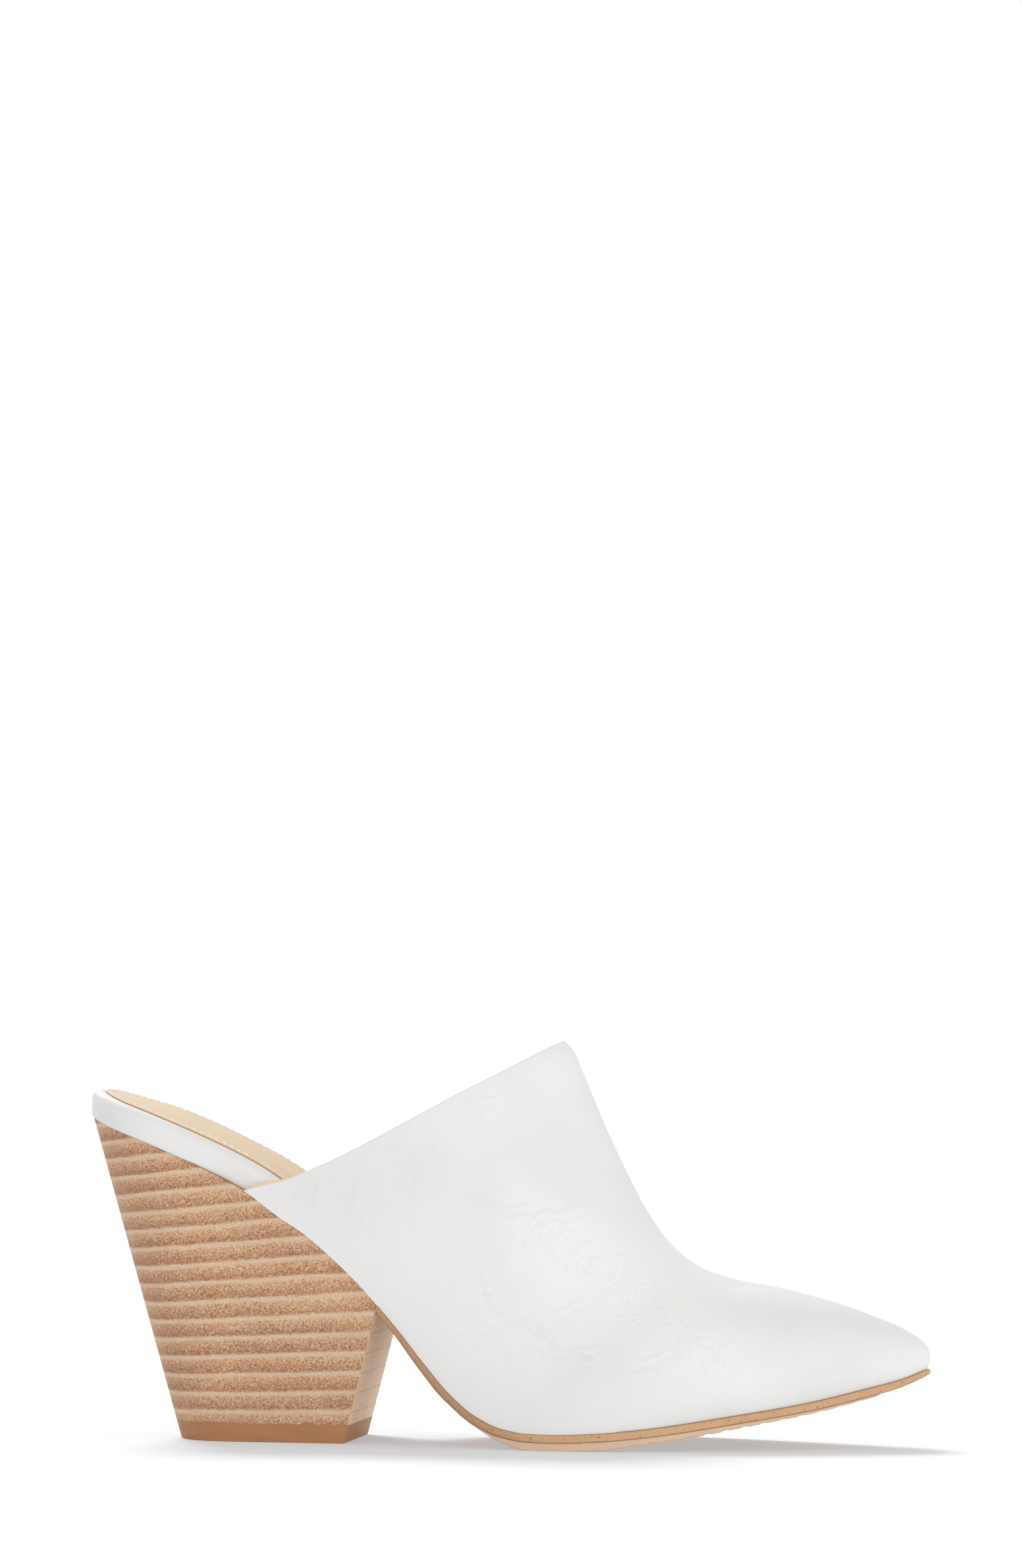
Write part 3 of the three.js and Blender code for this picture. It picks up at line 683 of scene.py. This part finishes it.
def heel_point(x, side, share):
    """A point on the heel's side. share is 0 at the floor and 1 under the seat."""
    along = x / BREAST_SET
    foot_x = along * HEEL_FOOT_LENGTH
    back = np.maximum(0, 1 - foot_x / HEEL_FOOT_ROUND)
    foot_half = HEEL_FOOT_WIDTH / 2 * (1 - back**HEEL_FOOT_SQUARENESS) ** (1 / HEEL_FOOT_SQUARENESS)
    front = np.clip((x - BREAST_SET + HEEL_CORNER) / HEEL_CORNER, 0, 1)
    cut = HEEL_CORNER * (1 - np.sqrt(1 - (CORNER_END * front) ** 2))
    foot = np.stack([HEEL_FOOT_SET + foot_x, side * (foot_half - cut), 0 * x], axis=-1)
    seat_half = np.maximum(half_width(x) - HEEL_INSET, 0) - cut
    inward = HEEL_INSET * (1 - along)
    seat = bottom_point(x + inward, middle(x) + side * seat_half, -SEAM)
    return lerp(foot, seat, share(seat[..., 2])[..., None])


def heel_loop(share):
    """A loop round the heel. share gives how far up it is, from the seat's height there."""
    front = [BREAST_SET - HEEL_CORNER * (1 - sine) for sine, _ in quarter_turn(steps=5)]
    xs = np.unique(np.concatenate([places(0, BREAST_SET - HEEL_CORNER, PLATE_SPACING), front]))
    return np.concatenate([heel_point(xs, 1, share), heel_point(xs, -1, share)[::-1]])


def make_heel(material):
    """The stack between the lift and the seat."""
    levels = 71
    loops = []
    for part in np.linspace(0, 1, levels):
        loops.append(heel_loop(lambda seat, part=part: lerp(LIFT_THICKNESS / seat, 1, part)))
    points, faces = body_through(loops)
    return mesh_piece("heel_stack", points, faces, material, sharp=60)


def make_lift(material):
    """The rubber lift under the heel, with its lower edge a little worn."""
    foot = heel_loop(lambda seat: 0 * seat)
    inward = foot.mean(axis=0) - foot
    inward[:, 2] = 0
    inward /= np.linalg.norm(inward, axis=1, keepdims=True)

    # Heights, each with how far the worn edge is drawn in there
    levels = [(0, LIFT_WEAR), (0.3 * LIFT_WEAR, 0.28 * LIFT_WEAR)]
    levels += [(height, 0) for height in (LIFT_WEAR, LIFT_THICKNESS / 2, LIFT_THICKNESS - LIFT_GAP)]
    loops = []
    for height, drawn in levels:
        loops.append(heel_loop(lambda seat, height=height: height / seat) + inward * drawn)
    points, faces = body_through(loops)
    return mesh_piece("heel_lift", points, faces, material, sharp=60)


def make_stitches(name, material, end, edge):
    """A row of lockstitches round the sock's back, up to end, and edge millimetres in from its cut edge."""
    xs = places(0, end, STITCH_SPACING)
    loop = plate_loop(xs, board_inset(xs) + RIM_SHOW + edge, sock_height(xs) + STITCH_LIFT)
    count = len(xs)
    path = np.concatenate([loop[:count][::-1], loop[count:][::-1]])
    steps = np.linalg.norm(np.diff(path, axis=0), axis=1)
    at = np.concatenate([[0], np.cumsum(steps)])
    rings, round_of = 7, 8
    angles = 2 * math.pi * np.arange(round_of)[:, None] / round_of
    bow = np.sin(np.linspace(0, math.pi, rings))
    points, faces = [], []
    for number in range(int(at[-1] / STITCH_PITCH)):
        stitch_start = number * STITCH_PITCH + STITCH_GAP / 2
        along = np.linspace(stitch_start, stitch_start + STITCH_PITCH - STITCH_GAP, rings)
        line = np.stack([np.interp(along, at, path[:, i]) for i in range(3)], axis=-1)
        run = line[-1] - line[0]
        run /= np.linalg.norm(run)
        aside = np.cross(run, [0, 0, 1])
        aside /= np.linalg.norm(aside)
        above = np.cross(aside, run)
        start_at = len(points) * round_of
        for ring in range(rings):
            centre = line[ring] + above * (bow[ring] * STITCH_BOW - THREAD_SUNK)
            thick = THREAD_RADIUS * lerp(THREAD_END, 1, bow[ring])
            points.append(centre + thick * (aside * np.cos(angles) + above * np.sin(angles)))
        faces += grid_faces(rings, round_of, start=start_at, closed=True)
        faces.append(tuple(start_at + i for i in range(round_of)))
        faces.append(tuple(start_at + (rings - 1) * round_of + i for i in range(round_of)))
    return mesh_piece(name, np.concatenate(points), faces, material)


class Wire:
    """A number that runs between nodes. Arithmetic on it adds Math nodes."""

    def __init__(self, finish, socket):
        self.finish = finish
        self.socket = socket

    def math(self, operation, *others):
        values = dict(enumerate((self, *others)))
        return self.finish.node("ShaderNodeMath", {"operation": operation}, values)

    def __add__(self, other):
        return self.math("ADD", other)

    def __sub__(self, other):
        return self.math("SUBTRACT", other)

    def __rsub__(self, other):
        return self * -1 + other

    def __mul__(self, other):
        return self.math("MULTIPLY", other)

    def __truediv__(self, other):
        return self.math("DIVIDE", other)

    __radd__ = __add__
    __rmul__ = __mul__


def tint(red, green, blue):
    """A colour from 0 to 255 as the eye sees it, as the light value that a node takes."""
    shares = [value / 255 for value in (red, green, blue)]
    return (*[s / 12.92 if s <= 0.04045 else ((s + 0.055) / 1.055) ** 2.4 for s in shares], 1)


class Finish:
    """A material. Its place is in the shoe's millimetres."""

    def __init__(self, name, **sockets):
        self.material = bpy.data.materials.new(name)
        self.material.use_nodes = True
        self.tree = self.material.node_tree
        self.shader = self.tree.nodes["Principled BSDF"]
        for key, value in sockets.items():
            self.shader.inputs[key.replace("_", " ")].default_value = value
        where = self.node("ShaderNodeTexCoord", output="Object")
        scale = (1 / MM,) * 3
        settings = {"operation": "MULTIPLY_ADD"}
        self.place = self.node("ShaderNodeVectorMath", settings, {0: where, 1: scale, 2: tuple(CENTRE)})

    def node(self, kind, settings=None, values=None, output=0):
        """A node with its settings, and values or links for its sockets. It gives one output, or several."""
        made = self.tree.nodes.new(kind)
        for key, value in (settings or {}).items():
            if key == "stops":
                self.set_stops(made.color_ramp, value)
            else:
                setattr(made, key, value)
        for key, value in (values or {}).items():
            if isinstance(value, Wire):
                self.tree.links.new(value.socket, made.inputs[key])
            else:
                made.inputs[key].default_value = value
        if isinstance(output, tuple):
            return tuple(Wire(self, made.outputs[key]) for key in output)
        return Wire(self, made.outputs[output])

    @staticmethod
    def set_stops(ramp, stops):
        while len(ramp.elements) < len(stops):
            ramp.elements.new(0.5)
        for element, (position, colour) in zip(ramp.elements, stops):
            element.position = position
            element.color = colour

    def feed(self, socket, value):
        self.tree.links.new(value.socket, self.shader.inputs[socket])

    def parts(self):
        """The place along the shoe, across it and up."""
        return self.node("ShaderNodeSeparateXYZ", None, {0: self.place}, output=("X", "Y", "Z"))

    def facing(self, axis):
        """How far the surface faces along an axis, from -1 to 1."""
        normal = self.node("ShaderNodeNewGeometry", output="Normal")
        return self.node("ShaderNodeSeparateXYZ", None, {0: normal}, output=axis)

    def join(self, x, y, z):
        return self.node("ShaderNodeCombineXYZ", None, {"X": x, "Y": y, "Z": z})

    def stretched(self, x, y, z):
        return self.node("ShaderNodeVectorMath", {"operation": "MULTIPLY"}, {0: self.place, 1: (x, y, z)})

    def noise(self, where, scale, detail=3.0, roughness=0.5, distortion=0.0):
        values = {"Vector": where, "Scale": scale, "Detail": detail, "Roughness": roughness}
        return self.node("ShaderNodeTexNoise", None, {**values, "Distortion": distortion})

    def cells(self, where, scale, feature="F1"):
        values = {"Vector": where, "Scale": scale}
        return self.node("ShaderNodeTexVoronoi", {"feature": feature}, values, output="Distance")

    def bent(self, where, scale, reach):
        """Places moved about by noise, up to half of reach in millimetres."""
        values = {"Vector": where, "Scale": scale, "Detail": 2.0}
        moves = self.node("ShaderNodeTexNoise", None, values, output="Color")
        settings = {"operation": "MULTIPLY_ADD"}
        return self.node("ShaderNodeVectorMath", settings, {0: moves, 1: (reach,) * 3, 2: where})

    def wrinkles(self, where, scale, width):
        """1 along thin winding lines and 0 away from them."""
        level = self.noise(where, scale, 2.0, 0.5, 0.5) - 0.5
        return 1 - self.band(level.math("ABSOLUTE"), 0, width)

    def band(self, value, low, high):
        """0 up to low, 1 from high, and smooth in between. low may be the larger."""
        settings = {"interpolation_type": "SMOOTHSTEP"}
        return self.node("ShaderNodeMapRange", settings, {"Value": value, "From Min": low, "From Max": high})

    def mix(self, share, first, second):
        return self.node("ShaderNodeMix", {"data_type": "RGBA"}, {0: share, 6: first, 7: second}, output=2)

    def bump(self, height, depth, over=None):
        """A bump of a depth in millimetres, over another bump if given."""
        values = {"Height": height, "Distance": depth * MM}
        if over is not None:
            values["Normal"] = over
        return self.node("ShaderNodeBump", None, values)


def leather_finish(name, pebbles=1.0, wrinkled=1.0):
    """White full-grain leather: fine pebbles, soft wrinkles, a sheen whose roughness isn't quite even, and
    painted light: lighter paint low in front and a painted highlight over the ball.
    """
    finish = Finish(name, Roughness=0.46, Specular_IOR_Level=0.32, Coat_Weight=0.03, Coat_Roughness=0.35)
    patches = finish.noise(finish.place, 0.035, 2.0)
    x, y, z = finish.parts()

    # Parts of the upper: behind the instep, the ball along its slope (pebbled, and given a painted
    # highlight), low in front (painted lighter), and low under the instep
    behind = finish.band(x, 118, 92) * finish.band(z, 46, 60)
    off_slope = (z - 46 + (x - 150) * 0.62).math("ABSOLUTE")
    ball = finish.band(off_slope, 19, 3) * finish.band(x, 112, 130) * finish.band(x, 205, 180)
    painted_light_low_front = finish.band(z, 76, 28) * finish.band(x, 205, 155)
    low = finish.band(x, 96, 112) * finish.band(x, 172, 150) * finish.band(z, 14, 22) * finish.band(z, 76, 60)

    shade = finish.mix(finish.band(patches, 0.35, 0.68), tint(211, 210, 208), tint(215, 214, 212))
    # Painted light: the colour is painted lighter low in front, and a painted highlight over the ball
    # brightens it there
    shade = finish.mix(painted_light_low_front * 0.6, shade, tint(223, 222, 220))
    finish.feed("Base Color", finish.mix(ball * 0.3, shade, tint(229, 228, 226)))

    # Wrinkles that stand upright behind, and a net of them that runs downhill in front
    upright = finish.wrinkles(finish.bent(finish.stretched(1, 0.6, 0.25), 0.5, 1.2), 0.6, 0.13)
    downhill = finish.join((x * 0.9 - z * 0.42) * 0.55, y * 0.6, x * 0.42 + z * 0.9)
    net = finish.cells(finish.bent(finish.bent(downhill, 0.25, 3.0), 1.2, 0.8), 0.48, "DISTANCE_TO_EDGE")
    wavy = (1 - finish.band(net, 0.0, 0.2)) * finish.band(finish.noise(finish.place, 0.1, 2.0), 0.4, 0.62)

    # Grain
    bent = finish.bent(finish.place, 0.5, 0.9)
    pebble = finish.band(finish.cells(bent, 0.8, "DISTANCE_TO_EDGE"), 0.0, 0.42)
    fine = finish.noise(finish.place, 2.2, 4.0, 0.6)
    soft = finish.noise(finish.stretched(1, 1, 0.5), 0.11, 2.0, 0.5, 0.6)
    pressed = (upright * behind * 0.16 + wavy * (0.06 + 0.94 * low) * 0.6) * wrinkled
    grain = pebble * (0.08 + 0.92 * ball) + fine * 0.25 - pressed
    finish.feed("Normal", finish.bump(soft, 0.2 * pebbles, over=finish.bump(grain, 0.11 * pebbles)))
    finish.feed("Roughness", 0.45 + 0.1 * fine + 0.06 * patches)
    return finish.material


def lining_finish():
    """Soft tan leather."""
    finish = Finish("Tan lining leather", Roughness=0.6, Specular_IOR_Level=0.3)
    patches = finish.noise(finish.place, 0.08, 3.0)
    finish.feed("Base Color", finish.mix(patches, tint(214, 184, 146), tint(228, 203, 168)))
    finish.feed("Normal", finish.bump(finish.noise(finish.place, 2.2, 4.0, 0.6), 0.06))
    return finish.material


def sock_finish():
    """Smooth tan leather, darker round its cut edge."""
    finish = Finish("Tan sock leather", Roughness=0.42, Specular_IOR_Level=0.4)
    patches = finish.noise(finish.stretched(0.4, 1, 1), 0.12, 3.0)
    face = finish.mix(finish.band(patches, 0.3, 0.7), tint(207, 181, 145), tint(213, 188, 153))
    finish.feed("Base Color", finish.mix(finish.band(finish.facing("Z"), 0.2, 0.6), tint(168, 128, 86), face))
    fine = finish.noise(finish.place, 2.0, 4.0, 0.6)
    finish.feed("Normal", finish.bump(fine + finish.cells(finish.place, 1.3) * 0.5, 0.05))
    finish.feed("Roughness", 0.36 + 0.16 * fine)
    return finish.material


def thread_finish():
    """Twisted white thread."""
    finish = Finish("White thread", Roughness=0.7, Specular_IOR_Level=0.3)
    twist = finish.noise(finish.place, 3.0, 2.0)
    finish.feed("Base Color", finish.mix(twist, tint(214, 208, 204), tint(236, 232, 228)))
    finish.feed("Normal", finish.bump(twist, 0.08))
    return finish.material


def sole_finish():
    """Tan sole edge with dark specks, darker along its bevels, partly as burnish and partly as a painted
    shadow line along the upward bevel, and darker under the arch.
    """
    finish = Finish("Burnished sole edge", Roughness=0.5, Specular_IOR_Level=0.4)
    patches = finish.noise(finish.stretched(0.25, 1, 1), 0.3, 3.0)
    base = finish.mix(patches, tint(184, 143, 102), tint(204, 164, 124))
    up = finish.facing("Z")
    worn = finish.band(finish.noise(finish.stretched(0.2, 0.5, 1), 0.6, 3.0), 0.3, 0.7)
    # Darker bevels: burnish, and along the upward bevel also a painted shadow line under the upper
    bevels = finish.band(up, -0.1, -0.75) * 0.4 + finish.band(up, 0.4, 0.9) * 0.3
    base = finish.mix(bevels * (0.55 + 0.45 * worn), base, tint(142, 100, 64))
    x = finish.parts()[0]
    arch, forepart = (138, 104, 0.55), (140, 200, 0.16)
    for start, full, share in (arch, forepart):
        base = finish.mix(finish.band(x, start, full) * share, base, tint(148, 107, 72))
    specks = finish.band(finish.noise(finish.place, 1.6, 2.0, 0.6), 0.62, 0.7)
    finish.feed("Base Color", finish.mix(specks, base, tint(128, 92, 62)))
    finish.feed("Normal", finish.bump(finish.noise(finish.place, 1.5, 4.0), 0.08))
    return finish.material


def tread_finish():
    """Dull, pale rubber."""
    finish = Finish("Pale pinkish rubber", Roughness=0.62, Specular_IOR_Level=0.35)
    patches = finish.noise(finish.place, 0.12, 3.0)
    finish.feed("Base Color", finish.mix(patches, tint(202, 171, 144), tint(211, 180, 155)))
    finish.feed("Normal", finish.bump(finish.noise(finish.place, 1.2, 4.0), 0.05))
    return finish.material


def heel_finish():
    """Stacked leather: sloping layers with light lines between, worm-like grain, and a smoother breast
    painted lighter, as painted light where the arch keeps it in shade.
    """
    finish = Finish("Stacked heel", Roughness=0.52, Specular_IOR_Level=0.35)
    x, _, z = finish.parts()
    back_rake = 0.29
    from_back = x - (SEAT_ROUND - back_rake * z)
    wobble = finish.noise(finish.stretched(0.12, 0.12, 0.5), 0.5, 2.0) - 0.5
    height = z - LAYER_START - from_back * LAYER_SLOPE + wobble * 0.9
    layer = height / (LAYER_PITCH + from_back * LAYER_SPREAD)
    part = layer - layer.math("FLOOR")
    fibres = finish.noise(finish.stretched(0.5, 0.5, 1.6), 1.6, 4.0, 0.7)
    off_line = layer + 0.42 + (fibres - 0.5) * 0.22
    off_line = (off_line - off_line.math("FLOOR") - 0.5).math("ABSOLUTE")
    line = 1 - finish.band(off_line, 0.03, 0.2)
    low = 1 - finish.band(part, 0.2, 1.0)
    patches = finish.noise(finish.stretched(0.5, 0.5, 1), 0.09, 3.0)
    worms = finish.noise(finish.place, 2.1, 4.0, 0.64, 0.7)
    back = finish.band(from_back, 34, 4)
    level = worms + 0.02 - low * 0.11 - back * 0.03 + (patches - 0.5) * 0.14
    stops = [
        (0.3, tint(138, 92, 64)),
        (0.41, tint(164, 119, 86)),
        (0.5, tint(190, 150, 117)),
        (0.6, tint(206, 171, 135)),
        (0.74, tint(222, 192, 160)),
    ]
    grain = finish.node("ShaderNodeValToRGB", {"stops": stops}, {0: level})
    streaks = finish.noise(finish.stretched(0.15, 0.15, 3.0), 1.0, 3.0)
    light = finish.mix(streaks, tint(204, 176, 146), tint(218, 194, 168))
    side = finish.mix(line * (0.5 + 0.5 * streaks), grain, light)
    # The breast's lighter tints are painted light, standing in for light that the arch's shade keeps off it;
    # the dark lines on it are the layers' joints
    front = finish.mix(finish.band(streaks, 0.35, 0.7), tint(210, 180, 150), tint(220, 192, 161))
    front = finish.mix((1 - finish.band(part, 0.0, 0.12)) * 0.4, front, tint(132, 98, 74))
    breast = finish.band(finish.facing("X"), 0.6, 0.8)
    finish.feed("Base Color", finish.mix(breast, side, front))
    relief = (worms * 0.7 + line * 0.25) * (1 - breast) + streaks * 0.3
    finish.feed("Normal", finish.bump(relief, 0.22))
    finish.feed("Roughness", 0.5 + 0.12 * worms)
    return finish.material


def lift_finish():
    """Brown rubber with faint layers."""
    finish = Finish("Brown lift rubber", Roughness=0.55, Specular_IOR_Level=0.25)
    patches = finish.noise(finish.stretched(0.3, 0.3, 1), 0.3, 3.0)
    finish.feed("Base Color", finish.mix(patches, tint(152, 105, 71), tint(172, 123, 86)))
    finish.feed("Normal", finish.bump(finish.noise(finish.stretched(1, 1, 4), 0.6, 4.0), 0.1))
    return finish.material


leather = leather_finish("White grained leather")
rim_leather = leather_finish("White rim leather", pebbles=0.5, wrinkled=0.15)
thread = thread_finish()
pieces = [
    (make_upper(leather), "upper", "upper_leather"),
    (make_lining(lining_finish()), "upper", "upper_leather"),
    (make_rim(rim_leather), "insole_board", "rim_leather"),
    (make_sock(sock_finish()), "sock", "sock_leather"),
    (make_stitches("sock_stitches_outer", thread, end=100, edge=1.2), "sock", "sock_leather"),
    (make_stitches("sock_stitches_inner", thread, end=44, edge=3.6), "sock", "sock_leather"),
    (make_sole(sole_finish()), "sole", "sole_edge"),
    (make_tread(tread_finish()), "tread", "tread_rubber"),
    (make_heel(heel_finish()), "heel", "stacked_heel"),
    (make_lift(lift_finish()), "top_lift", "lift_rubber"),
]
for piece, node, slot in pieces:
    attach(piece, "root")
    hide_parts(node)


def make_floor():
    """A wide paper floor that glows a little, so that it is white away from the shoe's shadow."""
    finish = Finish("Pale paper floor", Roughness=0.9, Specular_IOR_Level=0.0, Emission_Strength=0.38)
    finish.shader.inputs["Emission Color"].default_value = (1, 1, 1, 1)
    fibres = finish.noise(finish.place, 0.05, 3.0)
    finish.feed("Base Color", finish.mix(fibres, tint(149, 150, 152), tint(151, 152, 154)))
    reach = 9000
    corners = [(-reach, -reach, 0), (reach, -reach, 0), (reach, reach, 0), (-reach, reach, 0)]
    floor = mesh_piece("floor", corners, [(0, 1, 2, 3)], finish.material)
    return floor


def make_light(name, towards, strength, width, shades=True, only=None):
    """A far, soft light that shines along a direction, on one object only if given. width is in degrees."""
    light = bpy.data.lights.new(name, "SUN")
    light.energy = strength
    light.angle = math.radians(width)
    light.use_shadow = shades
    holder = bpy.data.objects.new(name, light)
    bpy.context.scene.collection.objects.link(holder)
    holder.rotation_euler = Vector(towards).to_track_quat("-Z", "Y").to_euler()
    if only is not None:
        lit = bpy.data.collections.new(name)
        lit.objects.link(only)
        holder.light_linking.receiver_collection = lit


def make_room():
    """White surroundings, as light as the floor, with colours shown as they are."""
    scene = bpy.context.scene
    world = bpy.data.worlds.new("studio")
    scene.world = world
    world.use_nodes = True
    background = world.node_tree.nodes["Background"]
    background.inputs["Color"].default_value = (1, 1, 1, 1)
    background.inputs["Strength"].default_value = 1.0
    scene.view_settings.view_transform = "Standard"
    scene.view_settings.look = "None"
    scene.view_settings.exposure = 0
    scene.view_settings.gamma = 1


def make_camera():
    """A long lens, level, on the outer side and a little towards the toe, rolled half a degree."""
    turn, roll = math.radians(8), math.radians(0.5)
    distance, aim_height = 2900, 183.5
    picture_height, pixels_per_millimetre = 2380, 5.44
    aim = np.array([117.5, 0, aim_height]) - CENTRE
    ahead = np.array([-math.sin(turn), math.cos(turn), 0])
    right = np.array([math.cos(turn), math.sin(turn), 0])
    up = np.array([0, 0, 1])
    lens = bpy.data.cameras.new("studio camera")
    lens.sensor_fit = "VERTICAL"
    lens.sensor_height = 36
    lens.lens = lens.sensor_height * distance * pixels_per_millimetre / picture_height
    lens.clip_start, lens.clip_end = 0.1, 100
    camera = bpy.data.objects.new("studio camera", lens)
    bpy.context.scene.collection.objects.link(camera)
    rolled_up = up * math.cos(roll) - right * math.sin(roll)
    rolled_right = right * math.cos(roll) + up * math.sin(roll)
    axes = np.array([rolled_right, rolled_up, -ahead]).T
    camera.matrix_world = Matrix.Translation((aim - ahead * distance) * MM) @ Matrix(axes.tolist()).to_4x4()
    bpy.context.scene.camera = camera


floor = make_floor()
make_room()
make_light("key", towards=(0.3, -0.75, -0.62), strength=0.95, width=30)
make_light("front", towards=(-0.62, 0.76, 0.2), strength=0.93, width=40, shades=False)
make_light("overhead", towards=(0.3, -0.55, -0.78), strength=3.9, width=22, only=floor)
make_camera()
